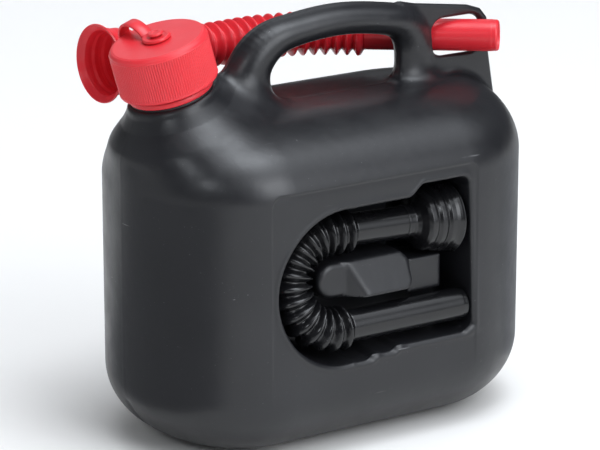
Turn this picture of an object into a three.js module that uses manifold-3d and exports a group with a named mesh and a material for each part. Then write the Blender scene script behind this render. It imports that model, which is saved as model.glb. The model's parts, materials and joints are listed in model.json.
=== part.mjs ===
// A five-litre plastic fuel can with two flexible pouring spouts.
//
// Units are millimetres. +Z is up, +X runs along the can towards the rear of the handle, and the
// broad side with the spout recess faces -Y. The origin is the centre of the base.
//
// The can is a blow-moulded shell: body, handle, rear web and neck are one piece of plastic. A screw
// cap closes the tilted neck, a tether ties the cap to it, a red spout is stored behind the handle
// with its outlet through the web, and a black spout is stored in the recess of the near side.

import * as THREE from 'three';
import { mergeVertices } from 'three/addons/utils/BufferGeometryUtils.js';
import { ParametricGeometry } from 'three/addons/geometries/ParametricGeometry.js';
import Module from 'manifold-3d';

const wasm = await Module();
wasm.setup();

const DEG = Math.PI / 180;
const GAP = 0.3; // clearance between touching pieces

// Can body
const BODY_LENGTH = 265;
const BODY_WIDTH = 156;
const SHOULDER_HEIGHT = 197.4;
const END_BULGE = 72; // length of each half-oval end
const WALL = 2.4;
const BASE_ROUNDING = { alongX: 49, alongY: 47, height: 41 };
const SHOULDER_ROUNDING = { alongX: 34, alongY: 58, height: 39 };
const STRAIGHT_HALF = BODY_LENGTH / 2 - END_BULGE;

// Handle and rear web, both on the centre plane
const GRIP = { height: 19, width: 26, postLength: 27, rearPostLength: 23, rearPostWidth: 15 };
const HANDLE_AXIS_Z = 241;
// Points of the grip's axis from the front shoulder over to the rear one, [x, z]
const HANDLE_AXIS = [
  [-54, 180], [-49.5, 203], [-44, 222], [-30, 235], [-8, HANDLE_AXIS_Z - 1.2],
  [18, HANDLE_AXIS_Z + 0.4], [43, HANDLE_AXIS_Z - 2.2], [61, HANDLE_AXIS_Z - 7.2],
  [70.5, 221], [72, 200], [73, 180],
];
const WEB = {
  thickness: 5, front: 62, rear: 127, top: 245.2, foot: 150,
  bulge: 4.6, bulgeHeight: 181, straightFrom: 208, straightTo: 221, cornerTop: 238, cornerLength: 16,
};
const WEB_HOLE = { left: 84, right: 121, bottom: 208.6, top: 232.5, radius: 9 };

// Neck, cap and tether share one tilted axis, with its zero at the cap's lower edge
const NECK_TILT = 16 * DEG;
const CAP_EDGE = new THREE.Vector3(-99.2, 0, 218.3);
const CAP = { radius: 29.3, height: 28.5, bevel: 3, wall: 3.8, roof: 3 };
const NECK = { radius: 24.8, bore: 20.5, rim: 23, root: 23.2, seat: -5.3 - GAP };
// Radius and height of the neck's sloping root, from inside the shoulder up to the tether's seat
const NECK_ROOT = [[38, -30], [31, -19], [27.5, -11], [26.2, NECK.seat]];
const NECK_SUNK = 34; // how far the neck reaches down into the shoulder
const GASKET = { outer: 24.9, inner: 18.5, thickness: 1.9 };
const RING = { inner: 23.6, outer: 25.7, bottom: -5, top: -2 };
const STUD = { radius: 2.6, headRadius: 4.6, headHeight: 1.6, height: 4.6 };
const EYE = { inner: 3, outer: 8.5, thickness: 2 };
const STRAP = { width: 8, thickness: 1.4, turn: 9 * DEG };
// The strap's distance from the neck axis and its height, between the ring and the eye
const STRAP_ROUTE = [
  [29.0, -3.6], [30.5, 0], [30.6, 10], [30.9, 22], [30, 29.5], [25.5, 34.6], [19, 35.8], [13, 33.8],
];

// Spouts: both have the same collar, bellows and tube sizes
const SPOUT = {
  tube: 9.75, tubeBore: 8.1,
  crest: 13.6, root: 10.8, bellowsBore: 9, pitch: 7, ribs: 16,
  collarLength: 26, wall: 1.5,
};
// Radii of the three rings on a collar and where each ring starts and ends, from the lip
const COLLAR_RINGS = [
  { radius: 20.2, from: 2.8, to: 8.6 },
  { radius: 19.2, from: 10.4, to: 14.8 },
  { radius: 17.9, from: 16.6, to: 21.4 },
];
const COLLAR_GROOVE = 1.3; // how far the grooves between the rings lie below them
const LIP = { red: 23.6, black: 22 };
const STRAIGHT_LENGTH = { red: 72.5, black: 69 }; // collar and plain tube, up to the bellows

// Red spout route, seen from above: straight behind the cap, then bent towards the web
const RED = { mouth: new THREE.Vector3(-115.6, 52.9, 221), heading: 5.5 * DEG, straight: 102.4 };
const RED_BEND = { radius: 96.7, turn: 47.1 * DEG, height: 218.9 };
const RED_OUTLET_RISE = 1.4 * DEG;
const RED_OUTLET_LENGTH = 81.9;

// Black spout route: its two arms run along X, the lower one nearer to the can's side
const BLACK_ARM = {
  upper: new THREE.Vector3(0, -56, 130),
  lower: new THREE.Vector3(0, -66.5, 74.8),
};
const BLACK = { mouth: 57.5, bendX: -28, outletLength: 83, lean: 2.3 * DEG };

// Recess for the black spout in the near side
const RECESS = {
  floor: -40, pocketFloor: -31.5, rightTop: 59.8, rightBottom: 64, top: 156.5, bottom: 59.5,
};
const RECESS_END = { x: -26.5, z: 102.4, radius: 47.2 };
const RECESS_LOW_STEP = { from: -8, to: 9 }; // where the lower edge steps up, along X
const RECESS_HIGH_STEP = { from: 17, to: 28 }; // where the upper edge steps up, along X
const ISLAND = { bottom: 92.5, top: 114, left: -39, right: 23.5, face: -73 };
const ISLAND_CHAMFER = 4;
const LEDGE = { left: 27, right: 51, bottom: 85.2, top: 106.6, face: -61.5 };
const POCKET = { left: 24, bottom: 106 }; // the deeper part behind the black collar
const OUTSIDE = -95; // a depth safely outside the near side

// ---------------------------------------------------------------- geometry helpers

/** A closed surface through equal loops of points, with its first and last loop filled in. */
function loft(loops) {
  const around = loops[0].length;
  const rows = [collapse(loops[0]), ...loops, collapse(loops.at(-1))];
  const along = rows.length - 1;
  const surface = (u, v, point) => {
    point.copy(rows[Math.round(v * along)][Math.round(u * around) % around]);
  };
  return new ParametricGeometry(surface, around, along);
}

/** The loop with all its points moved to its centre. */
function collapse(loop) {
  const centre = new THREE.Vector3();
  loop.forEach((point) => centre.add(point));
  centre.divideScalar(loop.length);
  return loop.map(() => centre);
}

/** A manifold solid of a closed three.js geometry, facing out whichever way it was wound. */
function solid(geometry) {
  const bare = new THREE.BufferGeometry();
  bare.setAttribute('position', geometry.getAttribute('position'));
  if (geometry.index) bare.setIndex(geometry.index);
  const merged = mergeVertices(bare, 1e-3);
  const position = merged.getAttribute('position');
  const index = merged.index.array;
  const triangles = [];
  let volume = 0;
  const corner = [new THREE.Vector3(), new THREE.Vector3(), new THREE.Vector3()];
  for (let i = 0; i < index.length; i += 3) {
    const [a, b, c] = [index[i], index[i + 1], index[i + 2]];
    if (a === b || b === c || c === a) continue;
    triangles.push(a, b, c);
    corner.forEach((vertex, k) => vertex.fromBufferAttribute(position, index[i + k]));
    volume += corner[0].dot(corner[1].cross(corner[2]));
  }
  if (volume < 0) triangles.reverse();
  return new wasm.Manifold(new wasm.Mesh({
    numProp: 3,
    vertProperties: new Float32Array(position.array),
    triVerts: new Uint32Array(triangles),
  }));
}

/** A named mesh of a manifold solid. */
function mesh(name, manifold, material) {
  const result = manifold.getMesh();
  const geometry = new THREE.BufferGeometry();
  geometry.setAttribute('position', new THREE.BufferAttribute(result.vertProperties, 3));
  geometry.setIndex(new THREE.BufferAttribute(result.triVerts, 1));
  geometry.computeVertexNormals();
  const piece = new THREE.Mesh(geometry, material);
  piece.name = name;
  return piece;
}

/** A solid turned about the Z axis from [radius, height] pairs that start and end on it or close. */
function turned(profile, segments = 40) {
  const points = profile.map(([radius, height]) => new THREE.Vector2(radius, height));
  return solid(new THREE.LatheGeometry(points, segments).rotateX(90 * DEG));
}

/** A plate with its outline in the XZ plane, from y = back towards -Y up to y = front. */
function plate(shape, back, front) {
  const options = { depth: back - front, bevelEnabled: false, curveSegments: 10 };
  return solid(new THREE.ExtrudeGeometry(shape, options).rotateX(90 * DEG).translate(0, back, 0));
}

/** Moves a solid made about the origin to the tilted neck axis. */
function onNeck(manifold) {
  return manifold.rotate([0, -NECK_TILT / DEG, 0]).translate(CAP_EDGE.toArray());
}

/** Loops of a round tube: stations are {at, along, radius}, up is normal to the route's plane. */
function tubeLoops(stations, up, sides) {
  return stations.map(({ at, along, radius }) => {
    const side = new THREE.Vector3().crossVectors(up, along).normalize();
    return Array.from({ length: sides }, (_, k) => {
      const angle = (k / sides) * 2 * Math.PI;
      return at.clone()
        .addScaledVector(side, radius * Math.cos(angle))
        .addScaledVector(up, radius * Math.sin(angle));
    });
  });
}

function rectangle(left, right, bottom, top, radius = 0) {
  const shape = new THREE.Shape();
  if (radius === 0) {
    shape.moveTo(left, bottom).lineTo(right, bottom).lineTo(right, top).lineTo(left, top);
    return shape;
  }
  shape.moveTo(left + radius, bottom);
  shape.absarc(right - radius, bottom + radius, radius, -90 * DEG, 0);
  shape.absarc(right - radius, top - radius, radius, 0, 90 * DEG);
  shape.absarc(left + radius, top - radius, radius, 90 * DEG, 180 * DEG);
  shape.absarc(left + radius, bottom + radius, radius, 180 * DEG, 270 * DEG);
  return shape;
}

// ---------------------------------------------------------------- can body

/** One level loop of the body: straight broad sides joined by half-oval ends. */
function bodyLoop(z, insetX, insetY) {
  const oval = END_BULGE - insetX;
  const half = BODY_WIDTH / 2 - insetY;
  const steps = 12;
  const loop = [];
  for (const end of [1, -1]) {
    for (let k = 0; k <= steps; k += 1) {
      const angle = (-90 + (180 * k) / steps) * DEG;
      const x = STRAIGHT_HALF + oval * Math.cos(angle);
      loop.push(new THREE.Vector3(end * x, end * half * Math.sin(angle), z));
    }
  }
  return loop;
}

/** The body without handle or neck, its walls moved in by thickness. */
function bodyShell(thickness) {
  const loops = [];
  const steps = 5;
  for (let k = 0; k <= steps; k += 1) {
    const angle = (90 * k * DEG) / steps;
    const { alongX, alongY, height } = BASE_ROUNDING;
    const rise = (height - thickness) * (1 - Math.cos(angle));
    const pull = 1 - Math.sin(angle);
    loops.push(bodyLoop(
      thickness + rise,
      thickness + (alongX - thickness) * pull,
      thickness + (alongY - thickness) * pull,
    ));
  }
  for (let k = 0; k <= steps; k += 1) {
    const angle = (90 * k * DEG) / steps;
    const { alongX, alongY, height } = SHOULDER_ROUNDING;
    const drop = (height - thickness) * (1 - Math.sin(angle));
    const pull = 1 - Math.cos(angle);
    loops.push(bodyLoop(
      SHOULDER_HEIGHT - thickness - drop,
      thickness + (alongX - thickness) * pull,
      thickness + (alongY - thickness) * pull,
    ));
  }
  return solid(loft(loops));
}

/** The grip: an oval section along an arch from the front shoulder to the rear one. */
function handleArch(thickness) {
  const points = HANDLE_AXIS.map(([x, z]) => new THREE.Vector3(x, 0, z));
  const arch = new THREE.CatmullRomCurve3(points);
  const steps = 20;
  const sides = 12;
  const lengthwise = new THREE.Vector3(0, 1, 0);
  const loops = [];
  for (let k = 0; k <= steps; k += 1) {
    const share = k / steps;
    const along = arch.getTangentAt(share);
    const across = new THREE.Vector3().crossVectors(lengthwise, along).normalize();
    const post = share < 0.5 ? GRIP.postLength : GRIP.rearPostLength;
    const upright = THREE.MathUtils.smoothstep(Math.abs(share - 0.5), 0.08, 0.36);
    const depth = THREE.MathUtils.lerp(GRIP.height, post, upright) / 2 - thickness;
    const thinned = share < 0.5 ? 0 : upright;
    const width = THREE.MathUtils.lerp(GRIP.width, GRIP.rearPostWidth, thinned) / 2 - thickness;
    loops.push(Array.from({ length: sides }, (_, side) => {
      const angle = (side / sides) * 2 * Math.PI;
      return arch.getPointAt(share)
        .addScaledVector(across, depth * Math.cos(angle))
        .addScaledVector(lengthwise, width * Math.sin(angle));
    }));
  }
  return solid(loft(loops));
}

/** The thin web behind the rear post, with the hole that holds the red spout's outlet. */
function rearWeb() {
  const outline = new THREE.Shape();
  const { front, rear, foot, bulge, bulgeHeight, cornerTop, cornerLength } = WEB;
  outline.moveTo(front, foot);
  outline.lineTo(rear - bulge, foot);
  outline.lineTo(rear + bulge, bulgeHeight);
  outline.lineTo(rear, WEB.straightFrom);
  outline.lineTo(rear, WEB.straightTo);
  outline.quadraticCurveTo(rear, cornerTop, rear - cornerLength, cornerTop);
  outline.lineTo(front, WEB.top);
  const { left, right, bottom, top, radius } = WEB_HOLE;
  outline.holes.push(rectangle(left, right, bottom, top, radius));
  return plate(outline, WEB.thickness / 2, -WEB.thickness / 2);
}

/** Neck with its sloping root, closed below inside the body. */
function neckOutside() {
  const { radius, rim, root, seat } = NECK;
  return onNeck(turned([
    [0, -NECK_SUNK], ...NECK_ROOT, [root, seat], [root, -1.2], [radius, -0.4], [radius, rim - 1],
    [radius - 1, rim], [0, rim],
  ]));
}

/** Outline of the spout recess, moved out by grow. */
function recessOutline(grow) {
  const { rightTop, rightBottom, top, bottom } = RECESS;
  const { x, z, radius } = RECESS_END;
  const shape = new THREE.Shape();
  shape.moveTo(x, z - radius - grow);
  shape.lineTo(RECESS_LOW_STEP.from + grow, z - radius - grow);
  shape.lineTo(RECESS_LOW_STEP.to, bottom - grow);
  shape.lineTo(rightBottom + grow, bottom - grow);
  shape.lineTo(rightTop + grow, top + grow);
  shape.lineTo(RECESS_HIGH_STEP.to - grow, top + grow);
  shape.lineTo(RECESS_HIGH_STEP.from - grow, z + radius + grow);
  shape.lineTo(x, z + radius + grow);
  shape.absarc(x, z, radius + grow, 90 * DEG, 270 * DEG);
  return shape;
}

/** Outline of the tongue that stands between the spout's two arms, moved out by grow. */
function islandOutline(grow) {
  const { left, right, bottom, top } = ISLAND;
  const radius = (top - bottom) / 2;
  const chamfer = ISLAND_CHAMFER;
  const shape = new THREE.Shape();
  shape.moveTo(left + radius, bottom - grow);
  shape.lineTo(right - chamfer, bottom - grow);
  shape.lineTo(right + grow, bottom + chamfer);
  shape.lineTo(right + grow, top - chamfer);
  shape.lineTo(right - chamfer, top + grow);
  shape.lineTo(left + radius, top + grow);
  shape.absarc(left + radius, bottom + radius, radius + grow, 90 * DEG, 270 * DEG);
  return shape;
}

/** The space cut out for the black spout, with its walls, floor and island moved by grow. */
function recessSpace(grow) {
  const { left, right, bottom, top, face } = LEDGE;
  const main = plate(recessOutline(grow), RECESS.floor + grow, OUTSIDE);
  const pocketShape = rectangle(
    POCKET.left - grow, RECESS.rightTop + grow, POCKET.bottom - grow, RECESS.top + grow,
  );
  const pocket = plate(pocketShape, RECESS.pocketFloor + grow, OUTSIDE);
  const island = plate(islandOutline(-grow), 0, ISLAND.face + grow);
  const ledgeShape = rectangle(left + grow, right - grow, bottom + grow, top - grow);
  const ledge = plate(ledgeShape, 0, face + grow);
  return main.add(pocket).subtract(island).subtract(ledge);
}

function canBody() {
  const { bore: radius, rim } = NECK;
  const low = -NECK_SUNK - 6;
  const bore = onNeck(turned([[0, low], [radius, low], [radius, rim + 1], [0, rim + 1]]));
  const outside = bodyShell(0).add(handleArch(0)).add(rearWeb()).add(neckOutside())
    .subtract(recessSpace(0));
  const inside = bodyShell(WALL).add(handleArch(WALL)).subtract(recessSpace(WALL)).add(bore);
  return outside.subtract(inside);
}

// ---------------------------------------------------------------- cap and tether, on the neck axis

function screwCap() {
  const { radius, height, bevel, wall, roof } = CAP;
  const inner = radius - wall;
  const { radius: stem, headRadius, headHeight, height: studHeight } = STUD;
  return turned([
    [0, height - roof], [inner, height - roof], [inner, 0], [radius - 0.8, 0], [radius, 0.8],
    [radius, height - bevel], [radius - 1.6, height - 0.7], [radius - 3.4, height], [stem, height],
    [stem, height + studHeight - headHeight], [headRadius, height + studHeight - headHeight],
    [headRadius - 0.6, height + studHeight], [0, height + studHeight],
  ], 48);
}

function capGasket() {
  const top = CAP.height - CAP.roof - GAP;
  const { outer, inner, thickness } = GASKET;
  return turned([[inner, top - thickness], [outer, top - thickness], [outer, top], [inner, top],
    [inner, top - thickness]]);
}

function tetherRing() {
  const { inner, outer, bottom, top } = RING;
  return turned([[inner, bottom], [outer - 0.6, bottom], [outer, bottom + 0.8], [outer, top - 0.8],
    [outer - 0.6, top], [inner, top], [inner, bottom]]);
}

function tetherEye() {
  const bottom = CAP.height + GAP;
  const top = bottom + EYE.thickness;
  return turned([[EYE.inner, bottom], [EYE.outer, bottom], [EYE.outer, top - 0.6], [EYE.outer - 0.6, top],
    [EYE.inner, top], [EYE.inner, bottom]]);
}

/** Flat band from the ring, up behind the cap and over its edge to the eye. */
function tetherStrap() {
  const route = new THREE.CatmullRomCurve3([
    [RING.outer + GAP, -3.5], ...STRAP_ROUTE, [EYE.outer + GAP + 0.2, CAP.height + GAP + 1.2],
  ].map(([reach, height]) => new THREE.Vector3(0, reach, height)));
  const steps = 18;
  const sideways = new THREE.Vector3(1, 0, 0);
  const loops = [];
  for (let k = 0; k <= steps; k += 1) {
    const at = route.getPointAt(k / steps);
    const up = new THREE.Vector3().crossVectors(sideways, route.getTangentAt(k / steps));
    const corners = [[-1, -1], [1, -1], [1, 1], [-1, 1]];
    loops.push(corners.map(([across, through]) => at.clone()
      .addScaledVector(sideways, (across * STRAP.width) / 2)
      .addScaledVector(up, (through * STRAP.thickness) / 2)));
  }
  return solid(loft(loops)).rotate([0, 0, STRAP.turn / DEG]);
}

// ---------------------------------------------------------------- spouts

/** Collar and plain tube about the Z axis, with the collar's open lip at z = 0. */
function spoutCollar(lip, end) {
  const { collarLength, tube, tubeBore, wall } = SPOUT;
  const outside = [[lip, 0], [lip, 1.2]];
  const inside = [[lip - wall, 0]];
  for (const { radius, from, to } of COLLAR_RINGS) {
    outside.push([radius, from], [radius, to], [radius - COLLAR_GROOVE, to + 0.9]);
    inside.push([radius - wall - 0.2, from + 1.4], [radius - wall - COLLAR_GROOVE, to]);
  }
  return turned([
    ...outside, [tube + 1.4, collarLength - 0.8], [tube, collarLength + 0.8],
    [tube, end], [tubeBore, end], [tubeBore, collarLength - 0.6],
    ...inside.reverse(), [lip, 0],
  ], 24);
}

/** Bellows along a route: routeAt(distance) gives {at, along}. */
function spoutBellows(routeAt, from, to, up) {
  const { crest, root, bellowsBore, ribs } = SPOUT;
  const outer = [];
  for (let k = 0; k <= 2 * ribs; k += 1) {
    const radius = k % 2 === 0 ? root : crest;
    outer.push({ ...routeAt(from + ((to - from) * k) / (2 * ribs)), radius });
  }
  const inner = [];
  const steps = 14;
  for (let k = 0; k <= steps; k += 1) {
    inner.push({ ...routeAt(from - 1 + ((to - from + 2) * k) / steps), radius: bellowsBore });
  }
  return solid(loft(tubeLoops(outer, up, 14))).subtract(solid(loft(tubeLoops(inner, up, 10))));
}

/** The straight outlet tube along a route, its far edge rounded. */
function spoutOutlet(routeAt, from, to, up) {
  const { tube, tubeBore } = SPOUT;
  const outer = [
    { ...routeAt(from), radius: tube }, { ...routeAt(to - 1), radius: tube },
    { ...routeAt(to), radius: tube - 0.6 },
  ];
  const inner = [{ ...routeAt(from - 1), radius: tubeBore }, { ...routeAt(to + 1), radius: tubeBore }];
  return solid(loft(tubeLoops(outer, up, 24))).subtract(solid(loft(tubeLoops(inner, up, 18))));
}

/** Point and direction at a distance from the red spout's lip. */
function redRoute(distance) {
  const { mouth, heading, straight } = RED;
  const { radius, turn, height } = RED_BEND;
  const bent = THREE.MathUtils.clamp(distance - straight, 0, radius * turn);
  const before = Math.min(distance, straight);
  const after = Math.max(distance - straight - radius * turn, 0);
  const now = heading - bent / radius;
  const x = mouth.x + before * Math.cos(heading) + radius * (Math.sin(heading) - Math.sin(now))
    + after * Math.cos(now);
  const y = mouth.y + before * Math.sin(heading) + radius * (Math.cos(now) - Math.cos(heading))
    + after * Math.sin(now);
  const sink = (mouth.z - height) / (straight + radius * turn);
  const slope = after > 0 ? Math.tan(RED_OUTLET_RISE) : -sink;
  return {
    at: new THREE.Vector3(x, y, mouth.z - sink * (before + bent) + Math.tan(RED_OUTLET_RISE) * after),
    along: new THREE.Vector3(Math.cos(now), Math.sin(now), slope).normalize(),
  };
}

/** Point and direction along the black spout's collar, which leans down a little to its lip. */
function blackCollarRoute(distance) {
  const along = new THREE.Vector3(-Math.cos(BLACK.lean), 0, Math.sin(BLACK.lean));
  const { at } = blackRoute(STRAIGHT_LENGTH.black);
  return { at: at.addScaledVector(along, distance - STRAIGHT_LENGTH.black), along };
}

/** Point and direction at a distance from the black spout's lip, round the recess's left end. */
function blackRoute(distance) {
  const { upper, lower } = BLACK_ARM;
  const across = lower.clone().sub(upper);
  const radius = across.length() / 2;
  across.normalize();
  const straight = BLACK.mouth - BLACK.bendX;
  const before = Math.min(distance, straight);
  const turn = THREE.MathUtils.clamp(distance - straight, 0, radius * Math.PI) / radius;
  const after = Math.max(distance - straight - radius * Math.PI, 0);
  const at = upper.clone().addScaledVector(across, radius * (1 - Math.cos(turn)));
  at.x = BLACK.mouth - before - radius * Math.sin(turn) + after;
  const along = across.multiplyScalar(Math.sin(turn));
  along.x = -Math.cos(turn);
  return { at, along };
}

/** Places a collar, made about the Z axis, at the start of a route. */
function placeCollar(collar, routeAt) {
  const { at, along } = routeAt(0);
  collar.position.copy(at);
  collar.quaternion.setFromUnitVectors(new THREE.Vector3(0, 0, 1), along);
  return collar;
}

// ---------------------------------------------------------------- materials and assembly

const blackShell = () => new THREE.MeshStandardMaterial({ color: 0x222326, roughness: 0.42, metalness: 0 });
const blackSpout = () => new THREE.MeshStandardMaterial({ color: 0x161617, roughness: 0.3, metalness: 0 });
const redPlastic = () => new THREE.MeshStandardMaterial({ color: 0xd6232b, roughness: 0.38, metalness: 0 });
const sealRubber = () => new THREE.MeshStandardMaterial({ color: 0x2a2a2a, roughness: 0.8, metalness: 0 });

/** A whole spout: its collar, its bellows and its outlet as three nodes. */
function spout({ colour, collarRoute, routeAt, up, outletLength, material }) {
  const straight = STRAIGHT_LENGTH[colour];
  const bellowsEnd = straight + SPOUT.ribs * SPOUT.pitch;
  const collar = mesh(`${colour}_spout_collar`, spoutCollar(LIP[colour], straight - GAP), material());
  const bellows = spoutBellows(routeAt, straight + GAP, bellowsEnd, up);
  const outletStart = bellowsEnd + GAP;
  const outlet = spoutOutlet(routeAt, outletStart, outletStart + outletLength, up);
  const group = new THREE.Group();
  group.add(
    placeCollar(collar, collarRoute),
    mesh(`${colour}_spout_bellows`, bellows, material()),
    mesh(`${colour}_spout_outlet`, outlet, material()),
  );
  return group;
}

const neckGroup = new THREE.Group();
neckGroup.position.copy(CAP_EDGE);
neckGroup.rotation.y = -NECK_TILT;
neckGroup.add(
  mesh('screw_cap', screwCap(), redPlastic()),
  mesh('cap_gasket', capGasket(), sealRubber()),
  mesh('tether_ring', tetherRing(), redPlastic()),
  mesh('tether_strap', tetherStrap(), redPlastic()),
  mesh('tether_eye', tetherEye(), redPlastic()),
);

const group = new THREE.Group();
const blackAcross = BLACK_ARM.lower.clone().sub(BLACK_ARM.upper);
group.add(
  mesh('can_body', canBody(), blackShell()),
  neckGroup,
  spout({
    colour: 'red',
    collarRoute: redRoute,
    routeAt: redRoute,
    up: new THREE.Vector3(0, 0, 1),
    outletLength: RED_OUTLET_LENGTH,
    material: redPlastic,
  }),
  spout({
    colour: 'black',
    collarRoute: blackCollarRoute,
    routeAt: blackRoute,
    up: new THREE.Vector3(1, 0, 0).cross(blackAcross).normalize(),
    outletLength: BLACK.outletLength,
    material: blackSpout,
  }),
);

export default group;
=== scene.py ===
"""Looks of a five-litre jerry can with two flexible spouts, built around its frame.

Every piece is modelled in millimetres in the frame's own axes (+X towards the rear of the handle,
the side with the recess at -Y, +Z up) and turned into metres when its mesh is made. The can's skin
is a distance field turned into a mesh; the cap, tether and spouts are turned and swept meshes.
"""

import json
import math

import bpy
import numpy as np
from mathutils import Matrix, Vector


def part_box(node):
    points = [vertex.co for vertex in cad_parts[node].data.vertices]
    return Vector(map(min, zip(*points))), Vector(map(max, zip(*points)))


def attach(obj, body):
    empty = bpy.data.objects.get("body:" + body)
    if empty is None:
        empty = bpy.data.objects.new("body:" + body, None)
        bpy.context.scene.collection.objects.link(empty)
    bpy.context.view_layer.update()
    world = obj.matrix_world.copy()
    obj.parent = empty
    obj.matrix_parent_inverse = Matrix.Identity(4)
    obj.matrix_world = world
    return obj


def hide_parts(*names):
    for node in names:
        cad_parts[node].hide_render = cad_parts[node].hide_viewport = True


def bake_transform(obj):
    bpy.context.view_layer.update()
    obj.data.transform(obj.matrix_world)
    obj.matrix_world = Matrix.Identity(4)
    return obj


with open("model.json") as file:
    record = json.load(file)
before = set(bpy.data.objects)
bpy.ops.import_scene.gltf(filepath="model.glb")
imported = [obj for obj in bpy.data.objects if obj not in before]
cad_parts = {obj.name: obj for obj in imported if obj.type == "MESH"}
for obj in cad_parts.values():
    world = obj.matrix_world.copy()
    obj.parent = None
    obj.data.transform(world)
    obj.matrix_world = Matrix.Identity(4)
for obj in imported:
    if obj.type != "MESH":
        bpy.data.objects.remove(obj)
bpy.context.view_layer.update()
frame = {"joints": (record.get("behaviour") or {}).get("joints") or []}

MM = 0.001
RAD = math.pi / 180
CELL = 1.25  # grid step of the can's skin
joints = {joint["name"]: joint for joint in frame["joints"]}


def in_mm(point):
    return np.array(point, float) / MM


def box_mm(node):
    low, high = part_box(node)
    return in_mm(low), in_mm(high)


# ------------------------------------------------------------------ sizes

# Half the length of the straight sides, length of each half-oval end, half the width, and the top
BODY = {"straight": 60.5, "end": 72.0, "half_width": 78.0, "top": 197.4}
BASE_ROUND = {"x": 52.0, "y": 47.0, "height": 43.0}
TOP_ROUND = {"x": 35.0, "y": 58.0, "height": 39.0}

# The flat panel around the recess: its outline, depth, the width of its step and the heights it fades over
PANEL = {"left": -77.0, "right": 66.0, "bottom": 34.0, "top": 164.6, "corner": 7.0}
PANEL_SUNK = 1.1
PANEL_STEP = (-1.6, 0.6)
PANEL_FADE = (70, 34)

# The parting line's flash in the plane y = 0, lower at the front, and the pinch-off groove near the base
FLASH = {"height": 0.36, "less": 0.28, "from": 60, "to": 90, "width": 0.85}
GROOVE = {"depth": 1.1, "width": 2.6, "ends": (108, 114), "heights": (26, 33)}

# Half height and half width of the handle's oval section at its grip and its two feet, where along
# its line the section grows, and over which stretch of the can its foot blend narrows
HANDLE = {"grip": (9.5, 13.0), "front": (13.5, 13.0), "rear": (11.5, 7.5)}
HANDLE_GROWS = (0.1, 0.36)
FOOT_NARROWS = (-30, 30)
HANDLE_LINE = [
    (-54, 180), (-49.5, 203), (-44, 222), (-30, 235), (-8, 239.8), (18, 241.4),
    (43, 238.8), (61, 233.8), (70.5, 221), (72, 200), (73, 180),
]
WEB_LINE = [
    (62, 150), (123, 150), (131.6, 181), (127, 208), (127, 221), (125.5, 229),
    (121, 234.5), (111, 238), (62, 245.2),
]
WEB_THICK = 5.0
WEB_HOLE = {"left": 84.0, "right": 121.0, "bottom": 208.6, "top": 232.5, "corner": 9.0}
# Outlines about the neck's axis, as distance from it and height: the root, and the space the cap needs
NECK_CONE = [(-4, -40), (36, -30), (29.5, -19), (26.6, -11), (25.7, -5.6), (-4, -5.6)]
CAP_ROOM = [(-4, -5.6), (26.0, -5.6), (26.0, -1.3), (30.1, -0.8), (30.1, 45), (-4, 45)]
NECK = {"root": 23.2, "thread": 24.8, "bore": 20.5, "rim": 23.0, "sunk": 34, "pitch": 5.0}

# The recess: planes of its floors, its right edge, and how much it widens towards its mouth
RECESS = {"floor": -40.0, "pocket": -31.5, "right_top": 59.8, "right_bottom": 64.0, "draft": 0.04}
RECESS_HIGH = {"left": 149.6, "right": 156.5, "from": 17.0, "to": 28.0}
RECESS_LOW = {"left": 55.2, "right": 59.8, "steps": ((-9.5, -3.5), (7.0, 13.0))}
RECESS_END = (-26.5, 102.4, 47.2, 1.035)  # centre, radius and narrowing of its round left end
POCKET = {"left": 24, "right": RECESS["right_top"], "bottom": 106, "top": RECESS_HIGH["right"], "corner": 5}
RIM_BEAD = {"height": 0.5, "off": 2.2, "width": 1.5, "from": -50}
ISLAND = {"left": -39.0, "right": 23.5, "bottom": 92.5, "top": 114.0}
TONGUE = {"face": -65.5, "length": 60, "round": 4.5}
BLOCK = {"upper": -65.5, "lower": -74.5, "lean": 0.94, "crease": -20.0, "slant": 1.2, "chamfer": 4}
DIAGONAL = 0.707  # turns the sum of two sides into the distance to a 45 degree face
LEDGE = {"left": 27.0, "right": 51.0, "bottom": 85.2, "top": 106.6, "corner": 1}
LEDGE_FACE = -61.5
# Bumps along the recess's lower edge: place along the can, height and size
SNAPS = [(-6.5, 56.6, 1.2), (10.5, 58.8, 1.2), (64.3, 59.8, 1.5)]
SNAP = {"long": 2.0, "tall": 1.1, "plane": 75.2}
# Widths of the blends where the can's shapes meet
BLEND = {
    "front_foot": 24, "rear_foot": 12, "neck": 22, "web": 5, "web_hole": 2, "web_edge": 2.2,
    "cap_room": 3.5, "bore": 0.8, "snap": 3.0, "mouth": 2.2, "floor": 6, "corner": 9, "low_high": 3,
    "ends": 0.5, "stand": 3, "edge": 0.8, "face": 2.4, "ledge": 2.2,
}

CAP = {"radius": 29.3, "height": 28.5, "bore": 25.5, "ribs": 124, "rib_depth": 0.6, "ribs_from": 1.6,
       "ribs_to": 25.3}
# Both spouts: radii of tube, bore, crests and grooves, wall thickness and spacing of the crests
SPOUT = {"tube": 9.75, "bore": 8.1, "crest": 13.6, "root": 9.95, "wall": 1.5, "pitch": 7.0}

# ------------------------------------------------------------------ mesh helpers


def make(name, verts, faces, body=None, nodes=(), material=None, normals=None):
    """A smooth mesh piece from points in millimetres, riding on a body."""
    mesh = bpy.data.meshes.new(name)
    mesh.from_pydata((np.asarray(verts) * MM).tolist(), [], [list(f) for f in faces])
    mesh.validate()
    mesh.polygons.foreach_set("use_smooth", [True] * len(mesh.polygons))
    piece = bpy.data.objects.new(name, mesh)
    bpy.context.scene.collection.objects.link(piece)
    if normals is not None:
        mesh.normals_split_custom_set_from_vertices(normals.tolist())
    if material:
        mesh.materials.append(material)
    if body:
        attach(piece, body)
    if nodes:
        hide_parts(*nodes)
    return piece


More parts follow.
